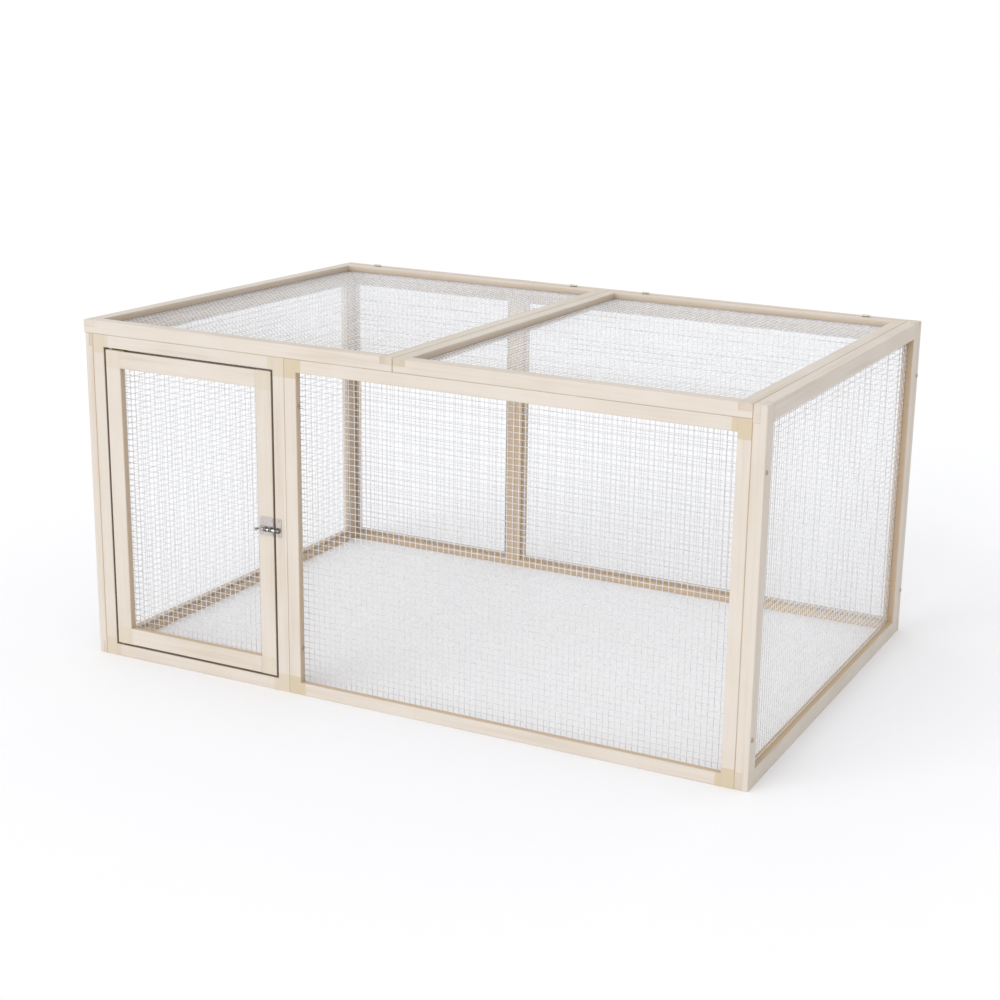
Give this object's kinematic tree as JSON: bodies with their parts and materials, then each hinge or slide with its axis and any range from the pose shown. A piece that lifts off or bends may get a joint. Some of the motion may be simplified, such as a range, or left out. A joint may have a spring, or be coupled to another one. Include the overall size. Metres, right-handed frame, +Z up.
{
  "type": "small animal run",
  "caption": "Low timber-framed run with welded wire mesh walls, a hinged front door with a barrel bolt and two lifting mesh lids; open underneath.",
  "frame": {"origin": "centre of the footprint's box, on the ground that the bottom rails stand on", "axes": "+X along the front from the door end to the plain end, +Y from the front to the hinged back, +Z up"},
  "size_m": [1.202, 0.816, 0.5869],
  "materials": {
    "timber": "matte",
    "mesh_wire": "satin",
    "screw_zinc": "satin",
    "hinge_steel": "satin",
    "latch_chrome": "polished",
    "pivot_brass": "satin",
    "pivot_steel": "satin"
  },
  "bodies": {
    "frame": {"back_long_bottom_rail": "timber", "back_long_left_stile": "timber", "back_long_mesh": "mesh_wire", "back_long_right_stile": "timber", "back_long_top_rail": "timber", "back_short_bottom_rail": "timber", "back_short_left_stile": "timber", "back_short_mesh": "mesh_wire", "back_short_right_stile": "timber", "back_short_top_rail": "timber", "door_frame_bottom_rail": "timber", "door_frame_left_stile": "timber", "door_frame_right_stile": "timber", "door_frame_top_rail": "timber", "door_pivot_pins": "pivot_steel", "door_pivot_washers": "pivot_steel", "frame_screws": "screw_zinc", "front_bottom_rail": "timber", "front_left_stile": "timber", "front_mesh": "mesh_wire", "front_right_stile": "timber", "front_top_rail": "timber", "hinge_fixed_leaves": "hinge_steel", "hinge_fixed_screws": "hinge_steel", "hinge_pins": "hinge_steel", "keeper_screws": "latch_chrome", "latch_keeper": "latch_chrome", "left_end_bottom_rail": "timber", "left_end_front_stile": "timber", "left_end_mesh": "mesh_wire", "left_end_rear_stile": "timber", "left_end_top_rail": "timber", "right_end_bottom_rail": "timber", "right_end_front_stile": "timber", "right_end_mesh": "mesh_wire", "right_end_rear_stile": "timber", "right_end_top_rail": "timber"},
    "door": {"door_bottom_rail": "timber", "door_left_stile": "timber", "door_mesh": "mesh_wire", "door_pivot_plates": "pivot_brass", "door_right_stile": "timber", "door_top_rail": "timber", "latch_plate": "latch_chrome", "latch_screws": "latch_chrome"},
    "bolt": {"latch_bolt": "latch_chrome"},
    "left_lid": {"left_lid_front_rail": "timber", "left_lid_hinge_leaves": "hinge_steel", "left_lid_hinge_screws": "hinge_steel", "left_lid_left_rail": "timber", "left_lid_mesh": "mesh_wire", "left_lid_rear_rail": "timber", "left_lid_right_rail": "timber"},
    "right_lid": {"right_lid_front_rail": "timber", "right_lid_hinge_leaves": "hinge_steel", "right_lid_hinge_screws": "hinge_steel", "right_lid_left_rail": "timber", "right_lid_mesh": "mesh_wire", "right_lid_rear_rail": "timber", "right_lid_right_rail": "timber"}
  },
  "joints": [
    {"name": "door_hinge", "type": "hinge", "parent": "frame", "child": "door", "pos_m": [-0.551, -0.3865, 0], "axis": [0, 0, -1], "range_deg": [0, 105]},
    {"name": "bolt_slide", "type": "slide", "parent": "door", "child": "bolt", "axis": [1, 0, 0], "range_m": [-0.012, 0.009]},
    {"name": "left_lid_hinge", "type": "hinge", "parent": "frame", "child": "left_lid", "pos_m": [-0.601, 0.3899, 0.585], "axis": [-1, 0, 0], "range_deg": [0, 180]},
    {"name": "right_lid_hinge", "type": "hinge", "parent": "frame", "child": "right_lid", "pos_m": [-0.601, 0.3899, 0.585], "axis": [-1, 0, 0], "range_deg": [0, 180]}
  ]
}
